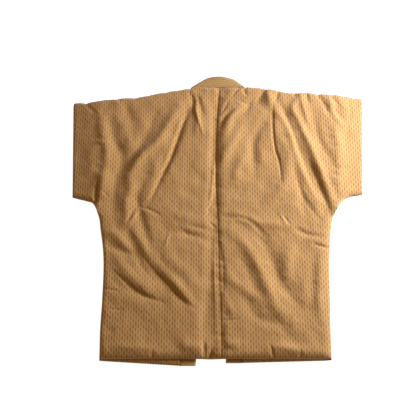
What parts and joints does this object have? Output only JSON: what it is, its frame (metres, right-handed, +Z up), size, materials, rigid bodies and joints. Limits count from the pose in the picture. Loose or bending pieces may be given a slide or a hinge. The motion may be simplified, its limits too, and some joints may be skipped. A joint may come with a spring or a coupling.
{
  "type": "padded hanten jacket",
  "caption": "Short-sleeved cotton-padded hanten jacket laid flat face down, with a long collar band, a centre back seam and short boxy sleeves",
  "frame": {"origin": "on the surface that the garment lies on, below the middle of its outline", "axes": "+Z up from the surface, +Y from the hem to the collar, +X to the right as seen from above the back"},
  "size_m": [0.8334, 0.8272, 0.0318],
  "materials": {
    "cloth": "matt dobby cotton, ochre, with small darker dashes in staggered rows",
    "collar_cloth": "the same matt dobby cotton, ochre"
  },
  "bodies": {
    "root": {"body_left": "cloth", "body_right": "cloth", "sleeve_left": "cloth", "sleeve_right": "cloth", "collar_front_left": "collar_cloth", "collar_front_right": "collar_cloth", "collar_neck": "collar_cloth"}
  },
  "joints": []
}
